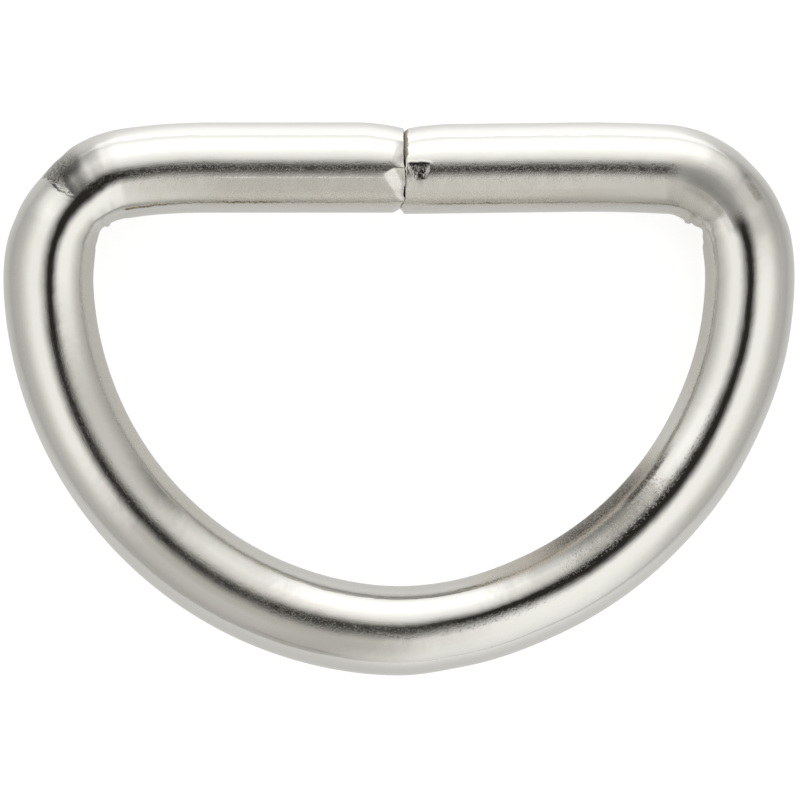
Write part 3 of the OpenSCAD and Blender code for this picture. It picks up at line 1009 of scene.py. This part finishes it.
# The soft light is a white tent with large lights behind it and a dark opening above for the camera.
# Heights on the tent are given as the tilt of a mirror that would show the place to the camera: 0 is
# straight above and 0.71 the horizon. Columns of lights: direction of its middle from +X, half its
# breadth and half its soft edge, all in degrees; the tilts where it begins, is full and starts to
# fade; its brightness, and its brightness at the horizon.
tent = {
    "cloth": 0.66,
    "clothFrom": (0.02, 0.26),
    "clothLow": (0.4, 0.85),       # tilt from which it darkens to the horizon, and its share there
    "clothColour": (1.0, 0.983, 0.922, 1),
    "lightColour": (1.0, 0.999, 1.01, 1),
    "lights": {
        "back": (90, 20, 7, 0.06, 0.44, 0.60, 0.62, 0.50),
        "back wide": (101, 49, 12, 0.06, 0.44, 0.60, 0.52, 0.28),
        "left": (180, 36, 11, 0.04, 0.26, 0.36, 0.66, 0.12),
        "front right": (-38, 43, 19, 0.04, 0.21, 0.38, 0.72, 0.14),
        "front left": (-126, 14, 11, 0.28, 0.40, 0.52, 0.10, 0.02),
        "back right": (30, 30, 12, 0.08, 0.30, 0.44, 0.18, 0.00),
        "front low": (-72, 20, 14, 0.42, 0.62, 0.80, 0.42, 0.42),
    },
    # Dark gaps between the lights. Columns: bearing where it begins, is darkest and ends, the tilts
    # where it begins and is full, and the share of light it takes
    "gaps": {
        "back left": (120, 136.5, 139.0, 0.00, 0.14, 0.85),
        "back left low": (108, 132.0, 139.0, 0.42, 0.62, 0.75),
        "back right": (32, 42, 49, 0.34, 0.62, 0.45),
    },
    # Centre x and y, half length, half breadth, turn in degrees, and soft edge as a share
    "opening": (0.0, 0.0, 0.10, 0.045, 130, 0.35),
    "openingLight": 0.035,
    "openingColour": (1.0, 0.90, 0.77, 1),
    "horizon": 0.7071,
    "leastLevel": 0.0001,          # keeps the bearing defined straight above
    "seenByCamera": (0.96, 0.96, 0.955, 1),
}


# A place's distance along an angle: x times its cosine plus y times its sine
def alongAngle(tree, x, y, angle):
    return calc(tree, "MULTIPLY_ADD", x, math.cos(angle), calc(tree, "MULTIPLY", y, math.sin(angle)))


# How far inside an ellipse a place is: 1 inside, 0 outside, with a soft edge
def ellipseMask(tree, x, y, centreX, centreY, halfLong, halfBroad, turn, soft):
    angle = math.radians(turn)
    x = calc(tree, "SUBTRACT", x, centreX)
    y = calc(tree, "SUBTRACT", y, centreY)
    along = calc(tree, "DIVIDE", alongAngle(tree, x, y, angle), halfLong)
    across = calc(tree, "DIVIDE", alongAngle(tree, y, x, -angle), halfBroad)
    distance = calc(tree, "MULTIPLY_ADD", along, along, calc(tree, "MULTIPLY", across, across))
    return remap(tree, calc(tree, "SQRT", distance), 1 - soft, 1 + soft, 1.0, 0.0, "SMOOTHSTEP")


# One light: the cosine of the angle between the direction's bearing and the light's middle decides
# its sides, and the tilt decides its top and foot
def lightMask(tree, facingX, facingY, tilt, middle, half, soft, begins, full, fades, peak, low):
    facing = alongAngle(tree, facingX, facingY, math.radians(middle))
    edges = [math.cos(math.radians(max(half + step, 0))) for step in (soft, -soft)]
    sides = remap(tree, facing, *edges, 0.0, 1.0, "SMOOTHSTEP")
    rises = remap(tree, tilt, begins, full, 0.0, peak)
    falls = remap(tree, tilt, fades, tent["horizon"], 1.0, low / peak, "SMOOTHSTEP")
    return combine(tree, "MULTIPLY", [rises, falls, sides])


# What a dark gap leaves of the light: 1 less its depth, which grows and lessens with the bearing
def gapMask(tree, bearing, tilt, begins, darkest, ends, top, full, depth):
    rises = remap(tree, bearing, begins, darkest)
    falls = remap(tree, bearing, darkest, ends, 1.0, 0.0)
    taken = combine(tree, "MULTIPLY", [rises, falls, remap(tree, tilt, top, full, 0.0, depth)])
    return calc(tree, "SUBTRACT", 1.0, taken)


# Colours and strengths of the cloth, the lights and the opening, in every direction
def tentGlows(tree):
    parts = addNode(tree, "ShaderNodeSeparateXYZ")
    plug(tree, addNode(tree, "ShaderNodeTexCoord").outputs["Generated"], parts.inputs[0])
    x, y, z = parts.outputs
    # A mirror shows the direction straight above it when it is tilted by half the direction's angle
    # from the vertical. The sine of that tilt is the root of (1 - z) / 2.
    tilt = calc(tree, "SQRT", calc(tree, "MULTIPLY", calc(tree, "SUBTRACT", 1.0, z), 0.5, clamp=True))
    level = calc(tree, "SQRT", calc(tree, "MULTIPLY_ADD", x, x, calc(tree, "MULTIPLY", y, y)))
    level = calc(tree, "MAXIMUM", level, tent["leastLevel"])
    facingX = calc(tree, "DIVIDE", x, level)
    facingY = calc(tree, "DIVIDE", y, level)
    bearing = calc(tree, "MULTIPLY", calc(tree, "ARCTAN2", y, x), 180 / math.pi)
    masks = [lightMask(tree, facingX, facingY, tilt, *light) for light in tent["lights"].values()]
    left = [gapMask(tree, bearing, tilt, *gap) for gap in tent["gaps"].values()]
    uncovered = combine(tree, "MULTIPLY", left)
    lights = calc(tree, "MULTIPLY", combine(tree, "ADD", masks), uncovered)
    darkens, low = tent["clothLow"]
    x = calc(tree, "MULTIPLY", facingX, tilt)
    y = calc(tree, "MULTIPLY", facingY, tilt)
    cloth = combine(tree, "MULTIPLY", [
        remap(tree, tilt, *tent["clothFrom"], 0.0, tent["cloth"], "SMOOTHSTEP"),
        remap(tree, tilt, darkens, tent["horizon"], 1.0, low),
        uncovered,
        calc(tree, "SUBTRACT", 1.0, ellipseMask(tree, x, y, *tent["opening"])),
    ])
    return [
        (tent["clothColour"], cloth),
        (tent["lightColour"], lights),
        (tent["openingColour"], tent["openingLight"]),
    ]


def glowing(tree, colour, strength):
    background = addNode(tree, "ShaderNodeBackground")
    plug(tree, colour, background.inputs["Color"])
    plug(tree, strength, background.inputs["Strength"])
    return background.outputs[0]


def makeTent():
    world = bpy.data.worlds.new("tent")
    bpy.context.scene.world = world
    world.use_nodes = True
    tree = world.node_tree
    tree.nodes.clear()
    cloth, *others = [glowing(tree, *glow) for glow in tentGlows(tree)]
    surroundings = cloth
    for other in others:
        both = addNode(tree, "ShaderNodeAddShader")
        plug(tree, surroundings, both.inputs[0])
        plug(tree, other, both.inputs[1])
        surroundings = both.outputs[0]
    # The camera itself sees a plain white
    seen = addNode(tree, "ShaderNodeMixShader")
    plug(tree, addNode(tree, "ShaderNodeLightPath").outputs["Is Camera Ray"], seen.inputs[0])
    plug(tree, surroundings, seen.inputs[1])
    plug(tree, glowing(tree, tent["seenByCamera"], 1.0), seen.inputs[2])
    output = addNode(tree, "ShaderNodeOutputWorld")
    plug(tree, seen.outputs[0], output.inputs["Surface"])


# The camera looks straight down from far away. The width is what the picture spans at the height of
# the wire's middle, and the centre is the point at the middle of the picture.
camera = {
    "height": 450 * mm,
    "width": 32.73 * mm,
    "centre": (0.033 * mm, -0.016 * mm),
    "nearest": 10 * mm,            # nothing closer to it is drawn
}


def makeCamera():
    data = bpy.data.cameras.new("camera")
    data.lens = data.sensor_width * (camera["height"] - wireRadius) / camera["width"]
    data.clip_start = camera["nearest"]
    eye = bpy.data.objects.new("camera", data)
    eye.location = (*camera["centre"], camera["height"])
    bpy.context.scene.collection.objects.link(eye)
    bpy.context.scene.camera = eye


bpy.context.scene.view_settings.view_transform = "Standard"
makeCamera()
makeTent()
makeFloor()
print("stage: camera, tent and floor made")

ringPiece = buildRing()
ringPiece.data.materials.append(nickelMaterial())
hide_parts("ring_wire")
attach(ringPiece, "root")
print("ring: dressed")
